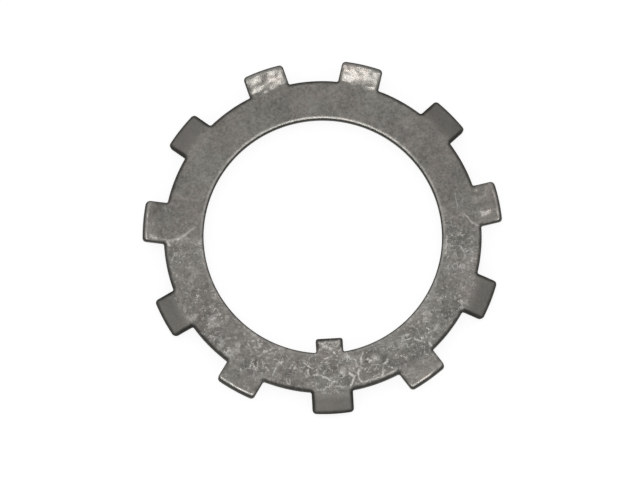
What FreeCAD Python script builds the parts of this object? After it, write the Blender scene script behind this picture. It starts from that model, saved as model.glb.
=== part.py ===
"""Tab lock washer: one flat ring of sheet steel, blanked with tabs around its rim and a tang in its bore.

The tang keys the washer to the slot of a threaded spindle. The rim tabs are set a little out of the flat,
one down and the next up. Once the nut is tight, a tab that lines up with one of its flats is folded on to it.

Frame: millimetres, +Z towards the face side of the blank, origin on the bore's axis at the ring's back face,
the tang on the -Y side.
"""

import FreeCAD, Part
import math
import os

import Sketcher

SIZES = [
    # name, value, what it measures
    ("bore_dia", 60.0, "bore that slides over the spindle's thread"),
    ("ring_dia", 80.0, "outside of the plain ring, between the tabs"),
    ("sheet_gauge", 2.0, "thickness of the sheet"),
    ("tab_count", 11, "tabs around the rim"),
    ("tab_width", 10.4, "across one tab, side to side"),
    ("tab_reach", 5.35, "from the ring's outside to a tab's tip, before it is bent"),
    ("tab_up_angle", 10.0, "set of a tab bent towards the face side, degrees"),
    ("tab_down_angle", 15.0, "set of a tab bent towards the back side, degrees"),
    ("bend_rad", 8.0, "inside radius of a tab's bend"),
    ("tang_width", 6.8, "across the tang"),
    ("tang_reach", 3.75, "from the bore's wall to the tang's tip"),
    ("root_rad", 0.5, "inside corners where a tab leaves the ring"),
    ("tab_corner_rad", 1.0, "outside corners of a tab"),
    ("tang_root_rad", 0.4, "inside corners where the tang leaves the bore"),
    ("tang_corner_rad", 0.6, "outside corners of the tang"),
    ("rim_face_round", 0.85, "rolled edge around the rim, face side"),
    ("rim_back_round", 0.55, "worn edge around the rim, back side"),
    ("bore_face_round", 0.55, "rolled edge around the bore, face side"),
    ("bore_back_round", 0.45, "worn edge around the bore, back side"),
]
CORNER_SHARE = 0.9  # a rounded edge is at most this share of the plan corner that it runs round
WALL_SHARE = 0.48  # and at most this share of the sheet, so that the face and back edges never meet

doc = FreeCAD.newDocument("tab_lock_washer")
sheet = doc.addObject("Spreadsheet::Sheet", "sizes")
for row, (name, value, note) in enumerate(SIZES, start=1):
    sheet.set(f"A{row}", name)
    sheet.set(f"B{row}", str(value))
    sheet.set(f"C{row}", note)
    sheet.setAlias(f"B{row}", name)
doc.recompute()

body = doc.addObject("PartDesign::Body", "washer")
body.Label = "lock_washer"


def size(name):
    """A driving dimension, as the sheet holds it."""
    return float(sheet.get(name))


def bind(thing, **formulas):
    """Ties properties to formulas on the sheet. A double underscore in a name stands for a path's dot."""
    for path, formula in formulas.items():
        thing.setExpression(path.replace("__", "."), formula)


# Places that several features share, as formulas on the sheet.
BORE_RAD = "(sizes.bore_dia / 2)"
RING_RAD = "(sizes.ring_dia / 2)"
MID_RAD = "((sizes.bore_dia + sizes.ring_dia) / 4)"
BEND_START = f"({RING_RAD} + sizes.root_rad)"
TANG_AZIMUTH = -90
PITCH = "(360 / sizes.tab_count)"

# Tabs are counted from the tang's own, number 0, which is bent down. They alternate both ways round from it,
# so with an odd count the two tabs opposite the tang are bent the same way.
LAST_BEFORE = "floor((sizes.tab_count - 1) / 2)"
LAST_AFTER = "floor(sizes.tab_count / 2)"
DOWN_COUNT = f"(floor({LAST_BEFORE} / 2) + floor({LAST_AFTER} / 2) + 1)"
UP_COUNT = f"(sizes.tab_count - {DOWN_COUNT})"
FIRST_DOWN = f"(-2 * floor({LAST_BEFORE} / 2))"
FIRST_UP = f"(1 - 2 * ceil({LAST_BEFORE} / 2))"


class Drawing:
    """A sketch of the washer's body, with the few calls that its drawings need."""

    X_AXIS, Y_AXIS = -1, -2
    START, END, CENTRE = range(1, 4)
    ORIGIN = (X_AXIS, START)

    def __init__(self, name, plane):
        self.sketch = body.newObject("Sketcher::SketchObject", name)
        support = next(f for f in body.Origin.OriginFeatures if f.Role == plane)
        self.sketch.AttachmentSupport = (support, "")
        self.sketch.MapMode = "FlatFace"

    def line(self, start, end):
        return self.sketch.addGeometry(Part.LineSegment(FreeCAD.Vector(*start, 0), FreeCAD.Vector(*end, 0)))

    def circle(self, radius):
        return self.sketch.addGeometry(Part.Circle(FreeCAD.Vector(), FreeCAD.Vector(0, 0, 1), radius))

    def arc(self, centre, radius, first_deg, last_deg):
        whole = Part.Circle(FreeCAD.Vector(*centre, 0), FreeCAD.Vector(0, 0, 1), radius)
        arc = Part.ArcOfCircle(whole, math.radians(first_deg), math.radians(last_deg))
        return self.sketch.addGeometry(arc)

    def rule(self, *words):
        self.sketch.addConstraint(Sketcher.Constraint(*words))

    def measure(self, name, formula, *words):
        """A named dimension, tied to the sheet. It starts at the value that was drawn."""
        number = self.sketch.addConstraint(Sketcher.Constraint(*words))
        self.sketch.renameConstraint(number, name)
        self.sketch.setExpression(f"Constraints.{name}", formula)


def pad(name, drawing, length, symmetric=False):
    """Extrudes a drawing by a length given as a formula."""
    feature = body.newObject("PartDesign::Pad", name)
    feature.Profile = drawing.sketch
    feature.SideType = "Symmetric" if symmetric else "One side"
    bind(feature, Length=length)
    doc.recompute()
    return feature


def round_edges(name, base, chosen, radius):
    """Rounds the edges of the last feature that a test picks."""
    names = [
        f"Edge{number}"
        for number, edge in enumerate(base.Shape.Edges, start=1)
        if chosen(edge) and len(base.Shape.ancestorsOfType(edge, Part.Face)) == 2
    ]
    if not names:
        raise RuntimeError(f"{name} found no edge to round")
    feature = body.newObject("PartDesign::Fillet", name)
    feature.Base = (base, names)
    bind(feature, Radius=radius)
    body.Tip = feature
    doc.recompute()
    return feature


def draw_ring():
    """The plain ring in plan."""
    plan = Drawing("ring_plan", "XY_Plane")
    for name, diameter in (("bore", "bore_dia"), ("outside", "ring_dia")):
        circle = plan.circle(size(diameter) / 2)
        plan.rule("Coincident", circle, plan.CENTRE, *plan.ORIGIN)
        plan.measure(name, f"sizes.{diameter}", "Diameter", circle, size(diameter))
    return plan


def draw_tang():
    """The tang in plan: a straight-sided tongue, from inside the ring to its square tip in the bore."""
    plan = Drawing("tang_plan", "XY_Plane")
    half = size("tang_width") / 2
    tip = size("bore_dia") / 2 - size("tang_reach")
    root = (size("bore_dia") + size("ring_dia")) / 4
    corners = [(-half, -root), (half, -root), (half, -tip), (-half, -tip)]
    sides = [plan.line(corners[i - 1], corners[i]) for i in range(len(corners))]
    left, root_line, right, tip_line = sides
    for i, side in enumerate(sides):
        plan.rule("Coincident", sides[i - 1], plan.END, side, plan.START)
    plan.rule("Vertical", left)
    plan.rule("Vertical", right)
    plan.rule("Horizontal", root_line)
    plan.rule("Symmetric", tip_line, plan.START, tip_line, plan.END, plan.Y_AXIS)
    root_left, root_right = (root_line, plan.START), (root_line, plan.END)
    tip_rad = f"{BORE_RAD} - sizes.tang_reach"
    plan.measure("width", "sizes.tang_width", "DistanceX", *root_left, *root_right, 2 * half)
    plan.measure("root", MID_RAD, "DistanceY", *root_left, *plan.ORIGIN, root)
    plan.measure("tip", tip_rad, "DistanceY", tip_line, plan.START, *plan.ORIGIN, tip)
    return plan


def draw_bend(name, azimuth, angle, upward):
    """A tab's root and bend from the side: flat out of the ring, then round a radius to the tab's angle."""
    side = Drawing(name, "XZ_Plane")
    upright_axis = FreeCAD.Vector(0, 1, 0)
    side.sketch.AttachmentOffset = FreeCAD.Placement(FreeCAD.Vector(), FreeCAD.Rotation(upright_axis, 1))
    bind(side.sketch, AttachmentOffset__Rotation__Angle=azimuth)
    gauge, inside, turn = size("sheet_gauge"), size("bend_rad"), size(angle)
    root = (size("bore_dia") + size("ring_dia")) / 4
    start = size("ring_dia") / 2 + size("root_rad")
    centre_z = gauge + inside if upward else -inside
    first, last = (-90, turn - 90) if upward else (90 - turn, 90)
    flat_end, bent_end = (side.START, side.END) if upward else (side.END, side.START)
    outer = side.arc((start, centre_z), inside + gauge, first, last)
    inner = side.arc((start, centre_z), inside, first, last)
    back_arc, face_arc = (outer, inner) if upward else (inner, outer)
    back = side.line((root, 0), (start, 0))
    face = side.line((start, gauge), (root, gauge))
    inside_end = side.line((root, gauge), (root, 0))
    lean = math.radians(turn)
    ends = [
        (start + radius * math.sin(lean), centre_z + (-1 if upward else 1) * radius * math.cos(lean))
        for radius in ((inside + gauge, inside) if upward else (inside, inside + gauge))
    ]
    bent_face = side.line(*ends)
    side.rule("Coincident", inner, side.CENTRE, outer, side.CENTRE)
    side.rule("Tangent", back, side.END, back_arc, flat_end)
    side.rule("Tangent", face, side.START, face_arc, flat_end)
    side.rule("Coincident", back_arc, bent_end, bent_face, side.START)
    side.rule("Coincident", face_arc, bent_end, bent_face, side.END)
    side.rule("Coincident", face, side.END, inside_end, side.START)
    side.rule("Coincident", inside_end, side.END, back, side.START)
    side.rule("Horizontal", back)
    side.rule("Horizontal", face)
    side.rule("Vertical", inside_end)
    side.rule("PointOnObject", back, side.START, side.X_AXIS)
    side.rule("PointOnObject", inner, side.CENTRE, bent_face)
    side.measure("root", MID_RAD, "DistanceX", *side.ORIGIN, back, side.START, root)
    side.measure("bend_start", BEND_START, "DistanceX", *side.ORIGIN, back, side.END, start)
    foot, head = (inside_end, side.END), (inside_end, side.START)
    side.measure("gauge", "sizes.sheet_gauge", "DistanceY", *foot, *head, gauge)
    side.measure("inside_radius", "sizes.bend_rad", "Radius", inner, inside)
    side.measure("set_angle", f"sizes.{angle} * 1 deg", "Angle", inner, lean)
    return side


def draw_leaf(name, azimuth, angle, upward):
    """The rest of a tab, square on. Its tip was an arc about the bore's axis in the flat blank."""
    plan = Drawing(name, "XY_Plane")
    back_rad = "(sizes.bend_rad + sizes.sheet_gauge)" if upward else "sizes.bend_rad"
    rise = "" if upward else "-"
    reach = f"({BEND_START} + {back_rad} * sin(sizes.{angle}))"
    bind(
        plan.sketch,
        AttachmentOffset__Base__x=f"{reach} * cos({azimuth})",
        AttachmentOffset__Base__y=f"{reach} * sin({azimuth})",
        AttachmentOffset__Base__z=f"{rise}{back_rad} * (1 - cos(sizes.{angle}))",
        AttachmentOffset__Rotation__Yaw=azimuth,
        AttachmentOffset__Rotation__Pitch=f"{'-' if upward else ''}sizes.{angle}",
    )
    half = size("tab_width") / 2
    tip_rad = size("ring_dia") / 2 + size("tab_reach")
    unrolled = (size("bend_rad") + size("sheet_gauge") / 2) * math.radians(size(angle))
    axis_back = size("ring_dia") / 2 + size("root_rad") + unrolled
    lean = math.asin(half / tip_rad)
    shoulder = tip_rad * math.cos(lean) - axis_back
    right = plan.line((0, -half), (shoulder, -half))
    tip = plan.arc((-axis_back, 0), tip_rad, -math.degrees(lean), math.degrees(lean))
    left = plan.line((shoulder, half), (0, half))
    root = plan.line((0, half), (0, -half))
    outline = [right, tip, left, root]
    for i, piece in enumerate(outline):
        plan.rule("Coincident", outline[i - 1], plan.END, piece, plan.START)
    plan.rule("Horizontal", right)
    plan.rule("Horizontal", left)
    plan.rule("Symmetric", root, plan.START, root, plan.END, *plan.ORIGIN)
    plan.rule("Vertical", root)
    plan.rule("PointOnObject", tip, plan.CENTRE, plan.X_AXIS)
    plan.measure("width", "sizes.tab_width", "DistanceY", root, plan.END, root, plan.START, 2 * half)
    plan.measure("tip_radius", f"{RING_RAD} + sizes.tab_reach", "Radius", tip, tip_rad)
    centre = f"{BEND_START} + (sizes.bend_rad + sizes.sheet_gauge / 2) * sizes.{angle} * pi / 180"
    plan.measure("blank_centre", centre, "DistanceX", tip, plan.CENTRE, *plan.ORIGIN, axis_back)
    return plan


def set_tabs(word, first, count, angle, upward):
    """One tab of a kind, bent from its root, and its copies at every second place round the rim."""
    azimuth = f"(mod({TANG_AZIMUTH} + {first} * {PITCH} + 540; 360) - 180)"  # from -180 to 180 degrees
    side = draw_bend(f"tab_{word}_side", azimuth, angle, upward)
    bend = pad(f"tab_{word}_bend", side, "sizes.tab_width", symmetric=True)
    plan = draw_leaf(f"tab_{word}_plan", azimuth, angle, upward)
    leaf = pad(f"tab_{word}_leaf", plan, "sizes.sheet_gauge")
    copies = body.newObject("PartDesign::PolarPattern", f"tabs_{word}")
    copies.Originals = [bend, leaf]
    copies.Axis = (next(f for f in body.Origin.OriginFeatures if f.Role == "Z_Axis"), [""])
    copies.Mode = "Spacing"
    bind(copies, Offset=f"2 * {PITCH}", Occurrences=count)
    body.Tip = copies
    doc.recompute()
    return copies


def upright(edge):
    """True for the straight edges through the sheet, square or nearly square to it."""
    steepest_set = math.radians(45)
    return edge.Curve.TypeId == "Part::GeomLine" and abs(edge.Curve.Direction.z) > math.cos(steepest_set)


def from_axis(edge):
    """How far the middle of an edge is from the bore's axis."""
    middle = edge.valueAt((edge.FirstParameter + edge.LastParameter) / 2)
    return math.hypot(middle.x, middle.y)


def lies_on(edge, diameter, height):
    """True for an arc of the ring's own circle of that diameter, at that height."""
    curve = edge.Curve
    tolerance = 1e-4
    return (
        curve.TypeId == "Part::GeomCircle"
        and abs(curve.Radius - diameter / 2) < tolerance
        and abs(curve.Center.z - height) < tolerance
        and math.hypot(curve.Center.x, curve.Center.y) < tolerance
    )


# The flat blank with its tang, then the tabs bent down, then those bent up.
pad("ring", draw_ring(), "sizes.sheet_gauge")
pad("tang", draw_tang(), "sizes.sheet_gauge")
set_tabs("down", FIRST_DOWN, DOWN_COUNT, "tab_down_angle", upward=False)
blank = set_tabs("up", FIRST_UP, UP_COUNT, "tab_up_angle", upward=True)

# Corners in plan: where the tabs and the tang leave the ring, and at their tips.
bore, outside, gauge = size("bore_dia"), size("ring_dia"), size("sheet_gauge")
near = size("root_rad") / 2
corners = (
    ("tab_roots", "root_rad", lambda edge: abs(from_axis(edge) - outside / 2) < near),
    ("tab_corners", "tab_corner_rad", lambda edge: from_axis(edge) > outside / 2 + near),
    ("tang_roots", "tang_root_rad", lambda edge: abs(from_axis(edge) - bore / 2) < near),
    ("tang_corners", "tang_corner_rad", lambda edge: from_axis(edge) < bore / 2 - near),
)
feature = blank
for name, radius, chosen in corners:
    feature = round_edges(name, feature, lambda edge: upright(edge) and chosen(edge), f"sizes.{radius}")

# Edges: the punch rolls the face side over and tumbling wears the back. Each runs round all tabs or the tang.
edges = (
    ("rim_face_round", outside, gauge, "tab_corner_rad"),
    ("rim_back_round", outside, 0, "tab_corner_rad"),
    ("bore_face_round", bore, gauge, "tang_corner_rad"),
    ("bore_back_round", bore, 0, "tang_corner_rad"),
)
for name, diameter, height, corner in edges:
    radius = f"min(sizes.{name}; {CORNER_SHARE} * sizes.{corner}; {WALL_SHARE} * sizes.sheet_gauge)"
    feature = round_edges(f"{name}_edge", feature, lambda edge: lies_on(edge, diameter, height), radius)

doc.recompute()
for thing in doc.Objects:
    if {"Invalid", "Error"} & set(thing.State):
        raise RuntimeError(f"{thing.Name} did not build: {thing.State}")
shape = body.Shape
if shape.isNull() or not shape.isValid() or len(shape.Solids) != 1:
    raise RuntimeError("the washer is not one valid solid")

os.makedirs("parts", exist_ok=True)
shape.exportStep(f"parts/{body.Label}.step")
print(f"{body.Label}: {shape.Volume:.1f} mm3, {len(shape.Faces)} faces")
box = shape.BoundBox
for axis in "XYZ":
    print(f"{axis} {getattr(box, axis + 'Min'):.2f} to {getattr(box, axis + 'Max'):.2f} mm")
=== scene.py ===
# %% [markdown]
# # A tab lock washer
#
# A nut that holds a bearing on a turning spindle would work loose if nothing locked it. This washer does. Its
# tang sits in a slot along the spindle, so the washer can't turn, and one of the tabs around its rim is
# folded over on to a flat of the nut, so the nut can't turn either.
#
# The washer is one piece of sheet steel. A punch cuts it flat, as a *blank*, and a press then sets the tabs a
# little out of the flat, one down and the next up. The lesson follows the same order: first the blank, then
# the press, then the finish of the steel, and last the studio where it is photographed.
#
# The CAD model is loaded before anything else. It fixes the washer's place and size, and its box is printed
# beside the new washer's at the end.

# %% Load the CAD model
import math

import bmesh
import bpy
import numpy as np
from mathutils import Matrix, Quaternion, Vector


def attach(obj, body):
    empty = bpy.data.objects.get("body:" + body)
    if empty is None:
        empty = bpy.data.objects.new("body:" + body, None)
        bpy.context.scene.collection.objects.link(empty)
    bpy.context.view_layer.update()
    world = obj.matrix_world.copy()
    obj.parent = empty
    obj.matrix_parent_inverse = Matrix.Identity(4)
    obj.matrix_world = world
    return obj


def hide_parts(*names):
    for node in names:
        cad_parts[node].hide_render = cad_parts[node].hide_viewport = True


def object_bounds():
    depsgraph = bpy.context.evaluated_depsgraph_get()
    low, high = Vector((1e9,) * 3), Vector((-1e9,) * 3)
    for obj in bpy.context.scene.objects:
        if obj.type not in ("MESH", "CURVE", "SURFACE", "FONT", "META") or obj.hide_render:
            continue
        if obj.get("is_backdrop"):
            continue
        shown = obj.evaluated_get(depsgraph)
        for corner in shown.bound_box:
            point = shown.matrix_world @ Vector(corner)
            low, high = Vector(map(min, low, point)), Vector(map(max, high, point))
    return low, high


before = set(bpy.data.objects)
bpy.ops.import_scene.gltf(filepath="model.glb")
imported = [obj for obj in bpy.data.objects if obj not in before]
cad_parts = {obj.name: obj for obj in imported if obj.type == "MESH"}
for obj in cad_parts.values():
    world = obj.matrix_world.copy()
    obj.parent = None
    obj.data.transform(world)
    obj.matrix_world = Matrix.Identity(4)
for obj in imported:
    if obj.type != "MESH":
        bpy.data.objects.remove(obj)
cad_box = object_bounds()

# %% [markdown]
# ## Sizes
#
# A maker's drawing gives every size once, and the rest of the drawing refers to it. The same goes here. Sizes
# are in millimetres and degrees, because that is how such a part is thought of, and they are multiplied by MM
# where a mesh is made, because Blender's unit is the metre.
#
# A punched edge is never sharp. The punch drags the face side of the sheet down with it before it breaks
# through, which leaves a shallow lip that gets steeper towards the edge. Tumbling the finished washers wears
# a small round on the back. A lip is written as places on it: how far in from the edge, and how steep it is
# there.

# %% Sizes
MM = 0.001
GAUGE = 2.0  # thickness of the sheet
BORE_RAD = 30.0
RING_RAD = 40.0  # outside of the plain ring, between the tabs
TIP_RAD = 45.35  # tips of the tabs, before they are bent
TAB_WIDTH, TAB_CORNER, TAB_ROOT = 10.4, 1.0, 0.5
TANG_WIDTH, TANG_CORNER, TANG_ROOT = 6.8, 0.6, 0.4
TANG_TIP = 26.25  # from the bore's axis to the tang's tip
RIM_LIP = [(0.90, 0), (0.68, 12), (0.32, 21)]  # how far in from the edge, and the slope there in degrees
BORE_LIP = [(0.95, 0), (0.66, 7), (0.26, 12.5)]
EDGE_WEAR = 0.42  # the round on the back
SIDE_SHARE = 0.3  # how wide the lip is beside the tabs and along the ring, next to its width at their tips
SMALLEST_CORNER = 0.2  # a corner's radius shrinks with depth in the sheet's edge, and stops here

PITCHES = 11  # tabs around the rim
PITCH = 2 * math.pi / PITCHES
TANG_AZIMUTH = -math.pi / 2  # the tang and its tab point along -Y
BEND_START, BEND_RAD = 39.3, 9.0  # where a tab starts to bend, and the radius of the bend's middle line
SET_UP, SET_DOWN = math.radians(10), math.radians(15)
print(f"{PITCHES} tabs, one every {math.degrees(PITCH):.1f} degrees")

# %% [markdown]
# ## The outline of one pitch
#
# The washer repeats eleven times round its axis, so only one pitch of it is drawn, with its tab pointing
# along +X. The drawing is also the same on both sides of that line, so each outline is drawn from the middle
# of the tip out to where the next pitch begins, and then mirrored.
#
# The outlines take an inset: how far inside the sheet's edge they run. A row of insets, each at its own
# height, later makes the lip, the wall and the worn back. A drawing program could offset one curve, but its
# corners would fold over themselves. Here every arc knows how its radius changes with the inset, so the
# corners stay clean.

# %% Lines and arcs as rows of points
def arc(centre, radius, start, end, steps):
    turn = np.linspace(start, end, steps + 1)
    return np.stack([centre[0] + radius * np.cos(turn), centre[1] + radius * np.sin(turn)], axis=1)


def line(start, end, steps):
    share = np.linspace(0, 1, steps + 1)[:, None]
    return np.asarray(start) * (1 - share) + np.asarray(end) * share


def mirrored(sections):
    """Joins the sections of one half end to end, and puts their mirror image before them."""
    half = np.concatenate([sections[0]] + [section[1:] for section in sections[1:]])
    return np.concatenate([half[:0:-1] * (1, -1), half])


# %% Outlines of the rim and the bore
TAB_STEPS = {"tip": 10, "corner": 6, "side": 13, "root": 6, "gap": 12}
TANG_STEPS = {"tip": 7, "corner": 4, "side": 6, "root": 4, "gap": 17}
QUARTER = math.pi / 2


def rim_outline(inset):
    """The tab and the ring on both sides of it."""
    steps = TAB_STEPS
    side_inset = inset * SIDE_SHARE
    corner = max(TAB_CORNER - side_inset, SMALLEST_CORNER)
    side = TAB_WIDTH / 2 - side_inset
    tip = TIP_RAD - inset
    corner_at = (math.sqrt((tip - corner) ** 2 - (side - corner) ** 2), side - corner)
    root_across = TAB_WIDTH / 2 + TAB_ROOT
    root_at = (math.sqrt((RING_RAD + TAB_ROOT) ** 2 - root_across**2), root_across)
    corner_azimuth, root_azimuth = (math.atan2(y, x) for x, y in (corner_at, root_at))
    return mirrored([
        arc((0, 0), tip, 0, corner_azimuth, steps["tip"]),
        arc(corner_at, corner, corner_azimuth, QUARTER, steps["corner"]),
        line((corner_at[0], side), (root_at[0], side), steps["side"]),
        arc(root_at, TAB_ROOT + side_inset, 3 * QUARTER, 2 * QUARTER + root_azimuth, steps["root"]),
        arc((0, 0), RING_RAD - side_inset, root_azimuth, PITCH / 2, steps["gap"]),
    ])


def keyed_bore_outline(inset):
    """The tang and the bore on both sides of it."""
    steps = TANG_STEPS
    corner = max(TANG_CORNER - inset, SMALLEST_CORNER)
    side = TANG_WIDTH / 2 - inset
    tip = TANG_TIP + inset
    root_across = TANG_WIDTH / 2 + TANG_ROOT
    root_at = (math.sqrt((BORE_RAD - TANG_ROOT) ** 2 - root_across**2), root_across)
    root_azimuth = math.atan2(root_at[1], root_at[0])
    return mirrored([
        line((tip, 0), (tip, side - corner), steps["tip"]),
        arc((tip + corner, side - corner), corner, 2 * QUARTER, QUARTER, steps["corner"]),
        line((tip + corner, side), (root_at[0], side), steps["side"]),
        arc(root_at, TANG_ROOT + inset, -QUARTER, root_azimuth, steps["root"]),
        arc((0, 0), BORE_RAD + inset, root_azimuth, PITCH / 2, steps["gap"]),
    ])


def columns(steps):
    """How many columns a shape's half takes beside its tongue and across it."""
    return steps["gap"] + steps["root"] // 2, steps["tip"] + steps["corner"] // 2


def plain_bore_outline(inset):
    """The bore where it has no tang."""
    return arc((0, 0), BORE_RAD + inset, -PITCH / 2, PITCH / 2, 2 * sum(columns(TAB_STEPS)))


assert sum(columns(TAB_STEPS)) == sum(columns(TANG_STEPS))
print(f"points per pitch: {len(rim_outline(0))} on the rim, {len(keyed_bore_outline(0))} on a keyed bore")

# %% [markdown]
# ## The sheet of one pitch
#
# A flat face could be a single polygon, but a tab has to bend, and a polygon can't. So each face is a net of
# four sided cells in blocks: the ring as a strip between two rails, the ring's edge on each side of the tab,
# and the tab itself, whose cells are spread between its four sides. That spreading is a *Coons patch*: it
# adds the two ways of going straight across, and takes away the corners that were counted twice.
#
# The edges are strips too. Each of their rows is the outline again, at the inset and the height where the
# lip, the wall or the worn back has got to. Blocks are simply laid side by side. Their shared points are
# welded later, when the pitches are.

# %% Blocks of cells
RIM_RAIL, BORE_RAIL = 37.6, 32.3  # radii of the rails, where the blocks of the ring begin
RAIL_ROWS, RING_ROWS = 3, 9


def strip(first, last, rows):
    """Rows of points from one line to another."""
    share = np.linspace(0, 1, rows + 1)[:, None, None]
    return first[None] * (1 - share) + last[None] * share


def coons_patch(bottom, right, top, left):
    """A net of points inside four sides. Bottom and top run the same way, and so do left and right."""
    across = np.linspace(0, 1, len(bottom))[None, :, None]
    along = np.linspace(0, 1, len(left))[:, None, None]
    sides = (1 - across) * left[:, None] + across * right[:, None]
    ends = (1 - along) * bottom[None] + along * top[None]
    corners = (1 - along) * ((1 - across) * bottom[0] + across * bottom[-1])
    corners = corners + along * ((1 - across) * top[0] + across * top[-1])
    return sides + ends - corners


def rail(outline, radius, steps):
    """The line on the ring from which a shape's columns start: under its own points beside the tongue, and
    evenly spread under the tongue."""
    beside, across = columns(steps)
    azimuths = np.arctan2(outline[:, 1], outline[:, 0])
    under = np.linspace(azimuths[beside], azimuths[-beside - 1], 2 * across + 1)
    azimuths = np.concatenate([azimuths[:beside], under, azimuths[len(azimuths) - beside:]])
    return radius * np.stack([np.cos(azimuths), np.sin(azimuths)], axis=1)


def tongue_blocks(outline, start, steps):
    """The blocks between a rail and an outline with a tab or a tang: both sides of it, and the tongue."""
    beside, across = columns(steps)
    tongue = len(outline) - 2 * beside
    shoulder = (tongue - 1 - 2 * across) // 2
    first, last = outline[: beside + 1], outline[len(outline) - beside - 1:]
    shoulder_line = outline[beside + 1: beside + shoulder + 1]
    left = np.concatenate([line(start[beside], first[-1], RAIL_ROWS), shoulder_line])
    right = left * (1, -1)
    top = outline[beside + shoulder: len(outline) - beside - shoulder]
    bottom = start[beside: len(start) - beside]
    return [
        strip(start[: beside + 1], first, RAIL_ROWS),
        strip(start[len(start) - beside - 1:], last, RAIL_ROWS),
        coons_patch(bottom, right, top, left),
    ]


def face_blocks(rim_inset, bore_inset, keyed):
    """All the blocks of one face of the sheet, between the rim's lip and the bore's."""
    rim = rim_outline(rim_inset)
    rim_rail = rail(rim, RIM_RAIL, TAB_STEPS)
    if keyed:
        bore = keyed_bore_outline(bore_inset)
        bore_rail = rail(bore, BORE_RAIL, TANG_STEPS)
        bore_side = tongue_blocks(bore, bore_rail, TANG_STEPS)
    else:
        bore = plain_bore_outline(bore_inset)
        bore_rail = bore * (BORE_RAIL / (BORE_RAD + bore_inset))
        bore_side = [strip(bore_rail, bore, RAIL_ROWS)]
    return [*tongue_blocks(rim, rim_rail, TAB_STEPS), strip(rim_rail, bore_rail, RING_ROWS), *bore_side]


# %% Edges
LIP_STEPS, ROUND_STEPS, WALL_STEPS, WEAR_STEPS = 8, 4, 3, 5


def edge_profile(lip):
    """Insets and heights down an edge: the lip of the face, its tight corner, the wall, and the worn back."""
    places, slopes = np.transpose(lip)
    insets = np.linspace(places[0], places[-1], LIP_STEPS + 1)
    fall = np.tan(np.radians(np.interp(-insets, -places, slopes)))
    fallen = np.concatenate([[0], np.cumsum((fall[1:] + fall[:-1]) / 2 * -np.diff(insets))])
    slope = math.radians(slopes[-1])
    corner = places[-1] / (1 - math.sin(slope))
    turn = np.linspace(slope, QUARTER, ROUND_STEPS + 1)
    drop = fallen[-1] + corner * (math.cos(slope) - np.cos(turn))
    rounded = np.stack([corner * (1 - np.sin(turn)), GAUGE - drop], axis=1)
    wall = line((0, rounded[-1, 1]), (0, EDGE_WEAR), WALL_STEPS)
    turn = np.linspace(0, QUARTER, WEAR_STEPS + 1)
    worn = EDGE_WEAR * np.stack([1 - np.cos(turn), 1 - np.sin(turn)], axis=1)
    return np.concatenate([np.stack([insets, GAUGE - fallen], axis=1), rounded[1:], wall[1:], worn[1:]])


RIM_PROFILE, BORE_PROFILE = edge_profile(RIM_LIP), edge_profile(BORE_LIP)


def edge_block(outline, profile):
    """A sheet's edge as one block of points in space."""
    rows = [np.column_stack([outline(inset), np.full(len(outline(0)), height)]) for inset, height in profile]
    return np.stack(rows)


def at_height(block, height):
    return np.concatenate([block, np.full((*block.shape[:2], 1), height)], axis=2)


def pitch_blocks(keyed):
    """The whole skin of a pitch: the face, the back, and the edges of the rim and the bore."""
    bore_outline = keyed_bore_outline if keyed else plain_bore_outline
    face = [at_height(block, GAUGE) for block in face_blocks(RIM_PROFILE[0, 0], BORE_PROFILE[0, 0], keyed)]
    back = [at_height(block, 0) for block in face_blocks(EDGE_WEAR, EDGE_WEAR, keyed)]
    return [*face, *back, edge_block(rim_outline, RIM_PROFILE), edge_block(bore_outline, BORE_PROFILE)]


# %% [markdown]
# Each point also keeps its distance from the sheet's edge, as an attribute. The finish needs it later: the
# punched edges are painted dark as painted shade, except at the tabs' tips and round the bore, whose lips get a
# painted highlight instead. Working it out here, on the flat drawing, is much easier than finding it in the
# shader on a bent tab.

# %% One pitch as a mesh
def distance_from_edge(points, keyed):
    """How far each point of the drawing is from the nearest point of the outline."""
    bore_outline = keyed_bore_outline if keyed else plain_bore_outline
    outline = np.concatenate([rim_outline(0), bore_outline(0)])
    starts, ends = outline[:-1], outline[1:]
    run = ends - starts
    length = np.maximum((run**2).sum(axis=1), 1e-12)
    share = ((points[:, None] - starts[None]) * run[None]).sum(axis=2) / length
    nearest = starts[None] + np.clip(share, 0, 1)[:, :, None] * run[None]
    gaps = np.linalg.norm(points[:, None] - nearest, axis=2)
    joint = len(rim_outline(0)) - 1  # the step from the rim's outline to the bore's is no edge
    gaps[:, joint] = np.inf
    return gaps.min(axis=1)


def pitch_object(name, keyed):
    points, cells, first = [], [], 0
    for block in pitch_blocks(keyed):
        rows, across = block.shape[:2]
        corner = first + (np.arange(rows - 1)[:, None] * across + np.arange(across - 1)[None]).reshape(-1, 1)
        cells.append(corner + np.array([0, 1, across + 1, across]))
        points.append(block.reshape(-1, 3))
        first += rows * across
    points, cells = np.concatenate(points), np.concatenate(cells)
    mesh = bpy.data.meshes.new(name)
    mesh.from_pydata(points * MM, [], cells.tolist())
    edge = mesh.attributes.new("from_edge", "FLOAT", "POINT")
    edge.data.foreach_set("value", distance_from_edge(points[:, :2], keyed).astype(np.float32))
    made = bpy.data.objects.new(name, mesh)
    bpy.context.scene.collection.objects.link(made)
    print(f"{name}: {len(points)} points, {len(cells)} cells")
    return made


washer = pitch_object("lock_washer_steel", keyed=False)
keyed_pitch = pitch_object("keyed_pitch", keyed=True)

# %% [markdown]
# ## Wires: node trees as sums
#
# The next steps build node trees, one for the press and one for the steel. A tree wired up call by call is
# hard to read, so a small class wraps one output socket and lets Python's own operators add the Math nodes.
# `1 - mask` then reads as what it means. Every other kind of node comes from `Wire.node`, which takes the
# node's type, its settings, and the values or wires of its sockets.

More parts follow.
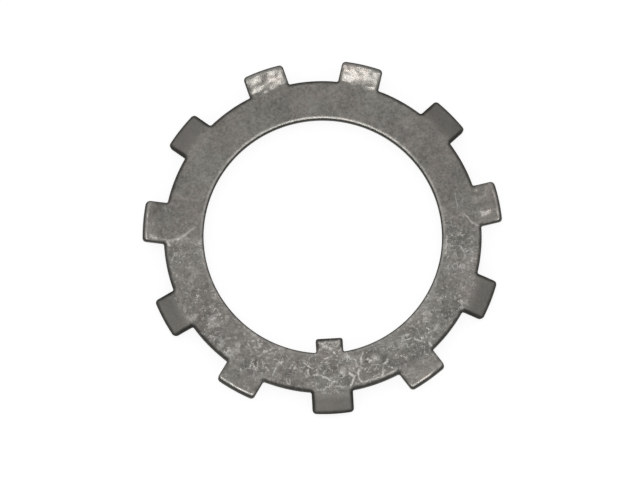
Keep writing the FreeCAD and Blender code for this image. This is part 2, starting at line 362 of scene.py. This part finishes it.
# %% The Wire class
class Wire:
    """One output in a node tree. Arithmetic on it adds Math nodes to the same tree."""

    def __init__(self, socket):
        self.socket = socket

    @staticmethod
    def node(tree, kind, settings=(), inputs=()):
        """Adds a node of any type. Its settings come first, then its inputs, each a plain value or a wire."""
        made = tree.nodes.new(kind)
        for name, value in dict(settings).items():
            setattr(made, name, value)
        for key, value in inputs.items() if isinstance(inputs, dict) else enumerate(inputs):
            if isinstance(value, Wire):
                tree.links.new(value.socket, made.inputs[key])
            else:
                made.inputs[key].default_value = value
        return Wire(next((socket for socket in made.outputs if socket.enabled), None))

    def output(self, name):
        """Another output of the same node."""
        return Wire(self.socket.node.outputs[name])

    def math(self, operation, *values):
        return Wire.node(self.socket.id_data, "ShaderNodeMath", {"operation": operation}, values)

    def __add__(self, other):
        return self.math("ADD", self, other)

    def __sub__(self, other):
        return self.math("SUBTRACT", self, other)

    def __rsub__(self, other):
        return self.math("SUBTRACT", other, self)

    def __mul__(self, other):
        return self.math("MULTIPLY", self, other)

    def __truediv__(self, other):
        return self.math("DIVIDE", self, other)

    def __abs__(self):
        return self.math("ABSOLUTE", self)

    __radd__, __rmul__ = __add__, __mul__

    def sin(self):
        return self.math("SINE", self)

    def cos(self):
        return self.math("COSINE", self)

    def least(self, other):
        return self.math("MINIMUM", self, other)

    def most(self, other):
        return self.math("MAXIMUM", self, other)

    def fade(self, start, end, low=0.0, high=1.0):
        """Eases from low to high while this value goes from start to end."""
        settings = {"interpolation_type": "SMOOTHSTEP"}
        return Wire.node(self.socket.id_data, "ShaderNodeMapRange", settings, (self, start, end, low, high))


print("wires carry the sums of every tree below")

# %% [markdown]
# ## The press
#
# Geometry Nodes are the right tool here, because the washer's shape follows a rule and the rule has only a
# few numbers. The tree copies the pitch round the axis, with the keyed pitch in the tang's place, makes the
# copies real, and welds them into one sheet. Then it presses.
#
# To bend sheet metal, its middle line has to keep its length. So the press takes each point's place along its
# tab, walks that far along a line that is straight, then goes round the bend, then straight again, and stands
# the point off that line by its height in the sheet. The bend begins a little inside the ring's rim, where
# the photograph's shading begins. The tab in line with the tang is number 0 and goes down, its neighbours go
# up, and so on both ways round. Real presses aren't perfect, so each tab also gets a small error.

# %% Copies round the axis
PRESS_SIZES = {
    "Gauge": GAUGE * MM,
    "Bend start": BEND_START * MM,
    "Bend radius": BEND_RAD * MM,
    "Set up": SET_UP,
    "Set down": SET_DOWN,
    "Set error": math.radians(0.6),
}
SET_SEED = 4
WELD_DISTANCE = 0.002 * MM
press = bpy.data.node_groups.new("press", "GeometryNodeTree")
press.interface.new_socket("Washer", in_out="OUTPUT", socket_type="NodeSocketGeometry")
press.interface.new_socket("Plain pitch", in_out="INPUT", socket_type="NodeSocketGeometry")
press.interface.new_socket("Keyed pitch", in_out="INPUT", socket_type="NodeSocketObject")
press.interface.new_socket("Steel", in_out="INPUT", socket_type="NodeSocketMaterial")
press.interface.new_socket("Pitches", in_out="INPUT", socket_type="NodeSocketInt")
for name in PRESS_SIZES:
    press.interface.new_socket(name, in_out="INPUT", socket_type="NodeSocketFloat")
given = {socket.name: Wire(socket) for socket in press.nodes.new("NodeGroupInput").outputs}


def round_the_axis():
    """The pitches, copied round the bore's axis and welded into one flat blank."""
    number = Wire.node(press, "GeometryNodeInputIndex")
    points = Wire.node(press, "GeometryNodeMeshLine", inputs={"Count": given["Pitches"], "Offset": (0, 0, 0)})
    angle = number * PITCH + TANG_AZIMUTH
    turn = Wire.node(press, "FunctionNodeAxisAngleToRotation", inputs={"Axis": (0, 0, 1), "Angle": angle})
    keyed = number.math("LESS_THAN", number, 0.5)
    keyed_mesh = Wire.node(press, "GeometryNodeObjectInfo", inputs={"Object": given["Keyed pitch"]})
    ring = Wire.node(press, "GeometryNodeJoinGeometry")
    for mesh, place in ((given["Plain pitch"], 1 - keyed), (keyed_mesh.output("Geometry"), keyed)):
        sockets = {"Points": points, "Selection": place, "Instance": mesh, "Rotation": turn}
        copies = Wire.node(press, "GeometryNodeInstanceOnPoints", inputs=sockets)
        press.links.new(copies.socket, ring.socket.node.inputs[0])
    sheet = Wire.node(press, "GeometryNodeRealizeInstances", inputs=(ring,))
    sockets = {"Geometry": sheet, "Distance": WELD_DISTANCE}
    return Wire.node(press, "GeometryNodeMergeByDistance", inputs=sockets)


blank = round_the_axis()


# %% The bend of each tab
def pressed(blank):
    """The blank with its tabs set. How far each point has gone round its bend is kept for the finish."""
    x = Wire.node(press, "ShaderNodeSeparateXYZ", inputs=(Wire.node(press, "GeometryNodeInputPosition"),))
    y, z = x.output("Y"), x.output("Z")
    from_tang = x.math("WRAP", x.math("ARCTAN2", y, x) - TANG_AZIMUTH, math.pi, -math.pi)
    number = x.math("ROUND", from_tang / PITCH)
    azimuth = number * PITCH + TANG_AZIMUTH
    along = x * azimuth.cos() + y * azimuth.sin()
    across = y * azimuth.cos() - x * azimuth.sin()

    goes_up = x.math("MODULO", abs(number), 2)
    side = goes_up * 2 - 1
    chance = {2: -1.0, 3: 1.0, "ID": number, "Seed": SET_SEED}
    error = Wire.node(press, "FunctionNodeRandomValue", {"data_type": "FLOAT"}, chance) * given["Set error"]
    full_turn = given["Set down"] + (given["Set up"] - given["Set down"]) * goes_up + error

    walked = (along - given["Bend start"]).most(0)
    turn = (walked / given["Bend radius"]).least(full_turn)
    straight = walked - turn * given["Bend radius"]
    off_middle = z - given["Gauge"] / 2
    out = along.least(given["Bend start"]) + turn.sin() * given["Bend radius"] + turn.cos() * straight
    out = out - side * turn.sin() * off_middle
    rise = (1 - turn.cos()) * given["Bend radius"] + turn.sin() * straight
    height = given["Gauge"] / 2 + side * rise + turn.cos() * off_middle
    place = Wire.node(press, "ShaderNodeCombineXYZ", inputs=(
        out * azimuth.cos() - across * azimuth.sin(),
        out * azimuth.sin() + across * azimuth.cos(),
        height,
    ))
    how = {"data_type": "FLOAT", "domain": "POINT"}
    kept = {"Geometry": blank, "Name": "tab_set", "Value": side * turn / full_turn}
    sheet = Wire.node(press, "GeometryNodeStoreNamedAttribute", how, kept)
    return Wire.node(press, "GeometryNodeSetPosition", inputs={"Geometry": sheet, "Position": place})


sheet = Wire.node(press, "GeometryNodeSetShadeSmooth", inputs={"Geometry": pressed(blank)})
sheet = Wire.node(press, "GeometryNodeSetMaterial", inputs={"Geometry": sheet, "Material": given["Steel"]})
press.links.new(sheet.socket, press.nodes.new("NodeGroupOutput").inputs[0])
print(f"press: {len(press.nodes)} nodes")

# %% [markdown]
# The modifier is only a tool. Once it has run, its result becomes the washer's own mesh and the modifier
# goes, so that the washer is plain geometry. A mesh that was copied, turned and welded may have cells
# facing the wrong way, so they are all turned outwards, and the sheet is checked the way a printer would:
# closed, with no loose ends, and with more than nothing inside.

# %% Run the press
steel = bpy.data.materials.new("oiled_steel")


def run_press(piece, tree, values):
    """Runs a Geometry Nodes tree on a piece, and makes the result the piece's own mesh."""
    modifier = piece.modifiers.new("press", "NODES")
    modifier.node_group = tree
    for item in tree.interface.items_tree:
        if item.name in values:
            modifier[item.identifier] = values[item.name]
    depsgraph = bpy.context.evaluated_depsgraph_get()
    pressed_piece = piece.evaluated_get(depsgraph)
    mesh = bpy.data.meshes.new_from_object(pressed_piece, preserve_all_data_layers=True, depsgraph=depsgraph)
    piece.modifiers.clear()
    piece.data = mesh


def face_outwards(mesh):
    """Turns every cell outwards, and says whether the skin is closed and how much steel is in it."""
    skin = bmesh.new()
    skin.from_mesh(mesh)
    bmesh.ops.recalc_face_normals(skin, faces=skin.faces)
    closed = all(edge.is_manifold for edge in skin.edges)
    volume = skin.calc_volume()
    skin.to_mesh(mesh)
    skin.free()
    return closed, volume


run_press(washer, press, {"Keyed pitch": keyed_pitch, "Steel": steel, "Pitches": PITCHES, **PRESS_SIZES})
bpy.data.objects.remove(keyed_pitch)
closed, volume = face_outwards(washer.data)
if not closed or volume <= 0:
    raise RuntimeError("the washer's skin isn't closed")
washer.data.name = washer.name
triangles = sum(len(cell.vertices) - 2 for cell in washer.data.polygons)
print(f"washer: {triangles} triangles, {volume / MM**3:.0f} cubic mm of steel")

# %% [markdown]
# ## The steel
#
# The washer is bare steel that has been tumbled, oiled and used. Its grey is even at first sight, and nearly
# all of its life is in three things laid over each other. A fine grain covers everything. Soft clouds come
# from dried oil. Thin pale scribbles, where washers rubbed on each other in the box, crowd the half with the
# tang and are rare on the other. Over them, the punched edges are painted dark as painted shade: the wall all
# the way round, and the lip too, less on the raised tabs and not at the tabs' tips or round the bore.
#
# The metal is fully metallic and fairly rough. How bright a spot looks therefore depends mostly on which way
# it faces, as on the real thing: the tabs that face the small lamp flash, the ring is mid grey, and the tabs
# that turn away are dark. Painted light adds a little to that: the tabs that were set up are painted brighter,
# more so on the half with the tang, as painted light for how they catch the lamps. The tabs that went down
# were pressed smooth and matt, and kept fewer marks.

# %% Places and noise
steel.use_nodes = True
finish = steel.node_tree
finish.nodes.clear()


def vector_math(operation, *values, **named):
    return Wire.node(finish, "ShaderNodeVectorMath", {"operation": operation}, named or values)


object_place = Wire.node(finish, "ShaderNodeTexCoord").output("Object")
place = vector_math("SCALE", **{"Vector": object_place, "Scale": 1 / MM})  # in millimetres
along_y = Wire.node(finish, "ShaderNodeSeparateXYZ", inputs=(place,)).output("Y")
from_edge = Wire.node(finish, "ShaderNodeAttribute", {"attribute_name": "from_edge"}).output("Fac")
tab_set = Wire.node(finish, "ShaderNodeAttribute", {"attribute_name": "tab_set"}).output("Fac")


def noise(at, size, detail=2.0, roughness=0.5, output="Fac"):
    """Noise whose features are about so many millimetres across."""
    sockets = {"Vector": at, "Scale": 1 / size, "Detail": detail, "Roughness": roughness}
    return Wire.node(finish, "ShaderNodeTexNoise", inputs=sockets).output(output)


def shaken(at, size, amount):
    """A place moved a little every way, so that what is drawn there gets a hand-made line."""
    shake = vector_math("SUBTRACT", noise(at, size, output="Color"), (0.5, 0.5, 0.5))
    return vector_math("MULTIPLY_ADD", shake, (amount, amount, amount), at)


print("places in millimetres")

# %% Grain, clouds and scribbles
GRAIN_SIZE, MOTTLE_SIZE, RUB_SIZE, PATCH_SIZE, CLOUD_SIZE = 0.6, 1.5, 3.4, 4.5, 7
FRESH_Y, USED_Y = 16, -14  # along Y, where use begins to show and where it is at its fullest
SCRIBBLES = [  # size of the noise, width of its line, how broken the line is, paleness, seed
    (3.6, 0.014, 0.50, 1.0, 3),
    (1.9, 0.024, 0.52, 0.9, 17),
    (1.1, 0.040, 0.56, 0.8, 31),
]
BREAK_SOFTNESS = 0.12
wavy = shaken(place, 2.5, 2.2)
grain = noise(place, GRAIN_SIZE, detail=2, roughness=0.55)
mottle = noise(wavy, MOTTLE_SIZE, detail=2)
clouds = noise(place, CLOUD_SIZE, detail=3)
used_half = along_y.fade(FRESH_Y, USED_Y)
flat = 1 - (tab_set * -1).fade(0.1, 0.7, 0, 0.9)  # a tab that went down was pressed smooth


def scribble(size, width, broken, seed):
    """Thin lines where a noise passes its middle value, broken into pieces by a second noise."""
    at = vector_math("ADD", wavy, (seed, -seed, 0))
    line_at = abs(noise(at, size, detail=3, roughness=0.6) - 0.5)
    pieces = noise(at, size * 0.8, detail=1).fade(broken, broken + BREAK_SOFTNESS)
    return line_at.fade(width, 0) * pieces


def worn(marks, on_fresh_half, on_used_half):
    """Marks of use, at a strength for each half of the washer."""
    return marks * used_half.fade(0, 1, on_fresh_half, on_used_half) * flat


scribbles = tab_set * 0
for size, width, broken, paleness, seed in SCRIBBLES:
    scribbles = scribbles + scribble(size, width, broken, seed) * paleness
scribbles = worn(scribbles, 0.07, 0.8)
rubbed = worn(noise(wavy, RUB_SIZE, detail=7, roughness=0.74).fade(0.52, 0.66), 0.05, 0.36)
flecks = worn(noise(place, 0.7, detail=1).fade(0.72, 0.80), 0.15, 0.6)
print("grain, clouds, scribbles and rubbed spots")

# %% [markdown]
# The largest scratches and rubbed spots are this washer's own. Each scratch is a few straight runs between
# places on the ring, with its width and how pale it is. The distance from a run is worked out in the shader,
# from a place that is shaken a little, so the runs aren't straight when they are seen.

# %% Scratches and rubbed spots
SCRATCHES = [  # places in millimetres, width, paleness
    ([(-6.9, -32.0), (-4.6, -34.0)], 0.33, 0.9),
    ([(-5.8, -34.0), (-5.6, -35.5)], 0.40, 0.7),
    ([(-4.7, -35.6), (-2.6, -35.7), (0.6, -37.5)], 0.30, 0.8),
    ([(-2.2, -36.1), (-0.5, -36.8)], 0.40, 0.6),
    ([(0.8, -29.9), (1.2, -30.3)], 0.38, 1.0),
    ([(-1.3, -31.5), (0.4, -30.9)], 0.30, 0.6),
    ([(-2.4, -32.3), (-0.4, -32.7)], 0.25, 0.6),
    ([(-14.7, -35.0), (-13.6, -33.0)], 0.33, 0.6),
    ([(-16.2, -32.9), (-15.6, -34.0)], 0.33, 0.5),
    ([(-18.0, -29.8), (-14.6, -28.1)], 0.55, 0.35),
    ([(-13.4, -31.9), (-11.9, -31.7)], 0.40, 0.45),
    ([(-11.3, -36.1), (-11.0, -37.5)], 0.30, 0.5),
    ([(-10.5, -36.0), (-10.5, -37.5)], 0.30, 0.5),
    ([(2.3, -34.9), (3.4, -35.8)], 0.33, 0.5),
    ([(-2.1, -39.4), (-0.6, -38.3), (3.2, -39.0)], 0.40, 0.45),
    ([(4.1, -30.3), (4.5, -31.5), (6.4, -32.3), (6.4, -33.9)], 0.30, 0.5),
    ([(8.3, -30.3), (7.4, -32.8), (7.8, -34.5)], 0.33, 0.6),
    ([(9.4, -32.1), (10.1, -32.6)], 0.55, 0.9),
    ([(14.3, -32.6), (13.3, -33.8), (12.9, -36.5)], 0.45, 0.6),
    ([(9.1, -35.4), (10.3, -33.8), (12.5, -33.8)], 0.30, 0.45),
    ([(4.7, -35.4), (5.8, -36.5), (4.7, -38.5)], 0.50, 0.8),
    ([(7.0, -34.7), (6.7, -36.7), (7.5, -37.9)], 0.38, 0.6),
    ([(7.5, -37.9), (12.6, -37.0), (16.2, -35.5)], 0.40, 0.55),
    ([(18.1, -28.2), (20.9, -27.4), (23.8, -28.6)], 0.28, 0.6),
    ([(19.7, -24.0), (22.4, -25.2), (22.8, -27.2)], 0.25, 0.35),
    ([(25.1, -28.9), (25.4, -29.6)], 0.50, 0.7),
    ([(2.4, -34.5), (3.2, -36.5)], 0.30, 0.45),
    ([(-41.9, 1.8), (-38.9, 0.9), (-36.7, 1.1), (-34.6, 2.2), (-31.9, 4.2)], 0.55, 0.45),
    ([(-39.4, 0.6), (-38.5, -0.3)], 0.40, 0.6),
    ([(-37.4, -2.2), (-38.3, -4.1)], 0.35, 0.4),
    ([(36.1, 3.4), (37.7, 1.3), (39.6, 0.3)], 0.35, 0.7),
    ([(33.9, 9.1), (34.3, 5.3)], 0.30, 0.35),
    ([(31.2, -1.9), (30.6, -6.2)], 0.38, 0.5),
    ([(32.1, -4.4), (34.3, -4.3), (35.5, -7.1)], 0.35, 0.4),
    ([(33.8, -18.7), (34.0, -21.5)], 0.45, 0.5),
]
SPOTS = [  # place in millimetres, radius, paleness
    ((-18.8, -27.9), 1.8, 0.30),
    ((-16.1, -30.4), 1.5, 0.25),
    ((-26.5, -25.0), 2.3, 0.25),
    ((11.5, -32.2), 1.8, 0.50),
    ((5.7, -36.3), 0.6, 0.90),
    ((40.6, 3.7), 1.1, 0.60),
    ((36.1, -6.5), 1.8, 0.30),
    ((24.5, -21.6), 2.3, 0.30),
    ((-1.4, -27.7), 1.5, 0.95),
    ((1.6, -27.5), 1.3, 0.80),
    ((0.3, -28.8), 1.2, 0.70),
    ((-3.8, -30.4), 0.4, 0.80),
    ((-35.2, 1.4), 1.8, 0.25),
]
FACE_HEIGHT = GAUGE
shaken_place = shaken(place, 0.9, 0.9)


def scratch(start, end, width, paleness):
    """One straight run, pale at its middle line and gone at its width."""
    run = np.subtract(end, start)
    start, run = (*start, FACE_HEIGHT), (*run, 0)
    from_start = vector_math("SUBTRACT", shaken_place, start)
    share = vector_math("DOT_PRODUCT", from_start, tuple(np.divide(run, np.dot(run, run)))).output("Value")
    nearest = vector_math("SCALE", **{"Vector": run, "Scale": share.most(0).least(1)})
    from_run = vector_math("DISTANCE", from_start, nearest).output("Value")
    return from_run.fade(width * 0.9, width * 0.2, 0, paleness)


def spot(centre, radius, paleness):
    from_centre = vector_math("DISTANCE", wavy, (*centre, FACE_HEIGHT)).output("Value")
    return from_centre.fade(radius, radius * 0.2, 0, paleness)


own_marks = tab_set * 0
for places, width, paleness in SCRATCHES:
    for start, end in zip(places, places[1:]):
        own_marks = own_marks.most(scratch(start, end, width, paleness))
spots = tab_set * 0
for centre, radius, paleness in SPOTS:
    spots = spots.most(spot(centre, radius, paleness))
spots = spots * noise(wavy, 0.8, detail=4).fade(0.38, 0.62)
own_marks = own_marks * noise(place, 0.8, detail=2).fade(0.3, 0.55, 0.35, 1)
print(f"{sum(len(places) - 1 for places, _, _ in SCRATCHES)} runs of scratches and {len(SPOTS)} spots")

# %% [markdown]
# Now the layers meet. The pale marks are steel with its oil rubbed off, so they mix the colour towards bare
# steel, and a painted highlight on the lips at the tabs' tips and round the bore mixes it the same way. The
# painted shade on the edges mixes it towards a dark brown grey. Grain, clouds, marks and the painted shade all
# change the roughness a little too.
#
# The press also left the tabs that it set up slightly dented, with sides that slope away by a few degrees.
# Both are too shallow to change the washer's outline, so they are a bump in the finish and not a shape. They
# break up the flash of the small lamp on those tabs.

# %% The finish
OILED, WARM, GREENISH = (0.208, 0.198, 0.183, 1), (0.217, 0.199, 0.182, 1), (0.185, 0.195, 0.172, 1)
BARE_STEEL_AND_HIGHLIGHT, EDGE_SHADE_GREY = (0.62, 0.60, 0.57, 1), (0.035, 0.034, 0.030, 1)
TUMBLED, MATT = 0.28, 0.50  # the roughness of the washer, and of the tabs that went down
TIP_ZONE = (43.0, 44.2)  # from the bore's axis, where the tabs' tips begin: their lip gets a painted highlight and no painted shade
BORE_ZONE, TANG_ZONE = (33, 31.5), (28.6, 29.6)  # the same for the bore, and where the tang is left out
EDGE_SHADE_WIDTH, WALL_SHADE_WIDTH = (1.1, 0.3), (0.42, 0.10)  # from the edge, where the painted shade on the lip and on the wall begins and where it is full
CROWN_WIDTH, CROWN_DEPTH = 1.3, 0.05  # how the sides of a raised tab slope away
RAISED_TAB_PAINTED_LIGHT, USED_RAISED_TAB_PAINTED_LIGHT = 0.13, 0.32  # painted light: how much brighter a raised tab is painted, everywhere and on the used half


def mixed(share, first, second):
    settings = {"data_type": "RGBA", "blend_type": "MIX"}
    return Wire.node(finish, "ShaderNodeMix", settings, {0: share, 6: first, 7: second})


def swing(pattern, amount):
    """A noise as a change to either side of none."""
    return (pattern - 0.5) * amount


went_up = tab_set.most(0)
tone = 1 + swing(grain, flat.fade(0, 1, 0.4, 1.0)) + swing(mottle, flat.fade(0, 1, 0.2, 0.6))
tone = tone + swing(clouds, 0.5) + swing(noise(wavy, PATCH_SIZE), used_half * (1 - abs(tab_set)) * 0.9)
# Painted light: the tabs that were set up are made brighter, most on the used half, for how they catch the
# lamps.
tone = tone + tab_set.fade(0, 1, 0, RAISED_TAB_PAINTED_LIGHT) + went_up * used_half * USED_RAISED_TAB_PAINTED_LIGHT
colour = mixed(noise(place, 2.2, detail=2).fade(0.4, 0.65), OILED, WARM)
green_share = noise(place, 11, detail=2).fade(0.45, 0.65, 0, 0.35).most((1 - flat) * 0.25)
colour = mixed(green_share, colour, GREENISH)
colour = vector_math("SCALE", **{"Vector": colour, "Scale": tone})

from_axis = vector_math("LENGTH", vector_math("MULTIPLY", place, (1, 1, 0))).output("Value")
bore_side = from_axis.fade(*BORE_ZONE) * from_axis.fade(*TANG_ZONE)
# The tips of the raised tabs and the bore: there the lip gets a painted highlight and no painted edge shade.
tips_and_bore = (from_axis.fade(*TIP_ZONE) * flat).most(bore_side)
painted_lip_highlight = tips_and_bore * from_edge.fade(0.30, 0.50) * from_edge.fade(1.1, 0.6)
painted_lip_highlight = painted_lip_highlight * noise(place, 1.3).fade(0.3, 0.6, 0.10, 0.30)
# The pale share holds the real marks and the painted lip highlight together.
pale = (scribbles + rubbed + flecks + own_marks + spots + painted_lip_highlight).least(1)
colour = mixed(pale, colour, BARE_STEEL_AND_HIGHLIGHT)

# Painted shade: the edges are painted dark, for the shade and dark reflections along them, except at the lips
# of the tips and the bore.
painted_edge_shade = (from_edge + swing(noise(place, 1.6), 0.4)).fade(*EDGE_SHADE_WIDTH)
painted_edge_shade = painted_edge_shade * (1 - tips_and_bore) * (0.8 - went_up * 0.4)
painted_edge_shade = painted_edge_shade.most(from_edge.fade(*WALL_SHADE_WIDTH) * 0.9)  # painted shade: the wall itself is painted dark all the way round
colour = mixed(painted_edge_shade, colour, EDGE_SHADE_GREY)

roughness = (tab_set * -1).fade(0.0, 0.25, TUMBLED, MATT) + swing(grain, 0.08) + swing(clouds, 0.06)
roughness = roughness + pale * 0.05 + painted_edge_shade * 0.3 + from_edge.fade(1.5, 0.7, 0, 0.05)
dents = swing(noise(place, 3.4, detail=1, roughness=0.35), tab_set.fade(0, 0.8, 0.06, 0.50))
beside_edge = from_edge.fade(CROWN_WIDTH, 0)
dents = dents - beside_edge * beside_edge * tab_set.fade(0, 0.8, 0, CROWN_DEPTH)
bump = Wire.node(finish, "ShaderNodeBump", inputs={"Strength": 1.0, "Distance": MM, "Height": dents})
surface = Wire.node(finish, "ShaderNodeBsdfPrincipled", inputs={
    "Base Color": colour,
    "Metallic": 1.0,
    "Roughness": roughness,
    "Normal": bump,
})
Wire.node(finish, "ShaderNodeOutputMaterial", inputs=(surface,))
print(f"finish: {len(finish.nodes)} nodes")

# %% [markdown]
# ## The studio
#
# The washer lies on its five lower tabs on a floor that looks white. The camera looks down at it from far
# away, a little off the vertical, towards the side with the tang. A long lens keeps the ring's far and near
# side the same width, as in the photograph.
#
# Two lamps light it. A wide soft disc hangs over the washer, leaning away from the camera, and gives the ring
# its even grey. The second lamp is a small oval close to the lens. Only the two tabs at the top of the
# picture face it, and each thin bright line, on the lip of a tab or along the top of the bore, is its
# reflection in a slope, brightened by a painted highlight on those lips. The room is white at its sides and
# dim overhead, and darkest in one corner of the ceiling, which is what the darkest tab mirrors.
#
# The floor itself is grey. In the camera's view, and in what the steel mirrors, it also glows, so that it is
# white there while the light on the washer stays plain, and the washer still leaves a faint shadow.

# %% Camera
PHOTO_WIDTH = 640
CAMERA_AZIMUTH, CAMERA_HEIGHT, CAMERA_ROLL = np.radians([263.11, 78.30, 3.55]).tolist()
CAMERA_DISTANCE = 2.69
LENS = 601.0
OFF_CENTRE = (0.693 * MM, 0.629 * MM)  # how far right and up from the picture's middle the bore's axis lies


def direction(azimuth, height):
    """A unit vector towards an azimuth in the floor and a height above it, both in radians."""
    in_floor = math.cos(height)
    return Vector((math.cos(azimuth) * in_floor, math.sin(azimuth) * in_floor, math.sin(height)))


def aimed(direction_back, roll=0.0):
    """The turn of a camera or a lamp that looks back along a direction."""
    return Quaternion(direction_back, roll) @ (-direction_back).to_track_quat("-Z", "Y")


def put(name, data, location, turn):
    made = bpy.data.objects.new(name, data)
    made.location = location
    made.rotation_mode = "QUATERNION"
    made.rotation_quaternion = turn
    bpy.context.scene.collection.objects.link(made)
    return made


back = direction(CAMERA_AZIMUTH, CAMERA_HEIGHT)
turn = aimed(back, CAMERA_ROLL)
middle = turn @ Vector((-OFF_CENTRE[0], -OFF_CENTRE[1], 0))
camera_data = bpy.data.cameras.new("camera")
camera_data.lens = LENS
camera = put("camera", camera_data, middle + back * CAMERA_DISTANCE, turn)
bpy.context.scene.camera = camera
bpy.context.scene.view_settings.view_transform = "Standard"
millimetres_wide = CAMERA_DISTANCE * camera_data.sensor_width / LENS / MM
print(f"the picture is {millimetres_wide:.0f} mm wide, with {PHOTO_WIDTH / millimetres_wide:.2f} px per mm")

# %% Lamps and room
def lamp(name, azimuth, lean, distance, size, power):
    """An oval lamp that looks at the washer. Its azimuth is in the floor and its lean is from straight above,
    both in degrees. Its size is its width from left to right in the picture, and its width the other way."""
    data = bpy.data.lights.new(name, "AREA")
    data.shape = "ELLIPSE"
    data.size, data.size_y = size
    data.energy = power
    towards = direction(math.radians(azimuth), math.radians(90 - lean))
    return put(name, data, towards * distance, aimed(towards))


soft_lamp = lamp("soft_lamp", azimuth=103, lean=12, distance=3.4, size=(4.8, 4.8), power=30.0)
flash = lamp("flash", azimuth=266, lean=6.5, distance=3.0, size=(1.1, 0.3), power=10.3)

CEILING_GREY, CORNER_GREY, WALL_WHITE, HORIZON_WHITE = 0.21, 0.05, 1.0, 0.95
CORNER_X, CORNER_Y = 0.62, 0.78  # which way the dark corner lies
CORNER_START, CORNER_FULL = 0.3, 0.7  # how far towards it the ceiling darkens
WALL_TOP, WALL_WHITE_AT = 0.66, 0.50  # heights on a ball round the washer where the walls begin and are white
room = bpy.data.worlds.new("room")
room.use_nodes = True
room.node_tree.nodes.clear()
looking = Wire.node(room.node_tree, "ShaderNodeTexCoord").output("Generated")
towards_x = Wire.node(room.node_tree, "ShaderNodeSeparateXYZ", inputs=(looking,))
towards_corner = towards_x * CORNER_X + towards_x.output("Y") * CORNER_Y
height = towards_x.output("Z")
ceiling = towards_corner.fade(CORNER_START, CORNER_FULL, CEILING_GREY, CORNER_GREY)
glow = ceiling + (WALL_WHITE - ceiling) * height.fade(WALL_TOP, WALL_WHITE_AT)
glow = glow.most(height.fade(0.05, -0.05, 0, HORIZON_WHITE))
light = {"Color": (1, 1, 1, 1), "Strength": glow}
background = Wire.node(room.node_tree, "ShaderNodeBackground", inputs=light)
Wire.node(room.node_tree, "ShaderNodeOutputWorld", inputs=(background,))
bpy.context.scene.world = room
print("lamps:", soft_lamp.name, flash.name)

# %% Floor
FLOOR_SIZE = 12.0
FLOOR_COLOUR, FLOOR_GLOW = (0.30, 0.30, 0.30, 1), 0.815
lowest = min(corner[2] for corner in washer.bound_box)
half = FLOOR_SIZE / 2
corners = [(x, y, lowest) for x, y in ((-half, -half), (half, -half), (half, half), (-half, half))]
floor_mesh = bpy.data.meshes.new("floor")
floor_mesh.from_pydata(corners, [], [(0, 1, 2, 3)])
floor = bpy.data.objects.new("floor", floor_mesh)
bpy.context.scene.collection.objects.link(floor)
floor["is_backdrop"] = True

paper = bpy.data.materials.new("white_paper")
paper.use_nodes = True
tree = paper.node_tree
tree.nodes.clear()
rays = Wire.node(tree, "ShaderNodeLightPath")
seen = rays.output("Is Camera Ray").most(rays.output("Is Glossy Ray"))
seen = seen.most(rays.output("Is Transmission Ray"))
matt = Wire.node(tree, "ShaderNodeBsdfDiffuse", inputs={"Color": FLOOR_COLOUR})
glowing = Wire.node(tree, "ShaderNodeEmission", inputs={"Color": (1, 1, 1, 1), "Strength": seen * FLOOR_GLOW})
top = Wire.node(tree, "ShaderNodeAddShader", inputs=(matt, glowing))
clear = Wire.node(tree, "ShaderNodeBsdfTransparent")
from_below = Wire.node(tree, "ShaderNodeNewGeometry").output("Backfacing")
both = Wire.node(tree, "ShaderNodeMixShader", inputs=(from_below, top, clear))
Wire.node(tree, "ShaderNodeOutputMaterial", inputs=(both,))
floor_mesh.materials.append(paper)
print(f"the floor is at {lowest / MM:.2f} mm, under the lower tabs")

# %% [markdown]
# ## Hand over
#
# The new mesh stands for the CAD model's washer, and rides on its only body. The two boxes are written down,
# so that anyone can compare them: the finer washer keeps the CAD model's length and width, and its tips stand
# up to 0.4 mm further out of the flat, because its bends begin nearer to the ring.

# %% Hand over
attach(washer, "root")
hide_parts("lock_washer")
size = {name: [list(corner) for corner in box] for name, box in (("cad", cad_box), ("visual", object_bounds()))}
print(size)
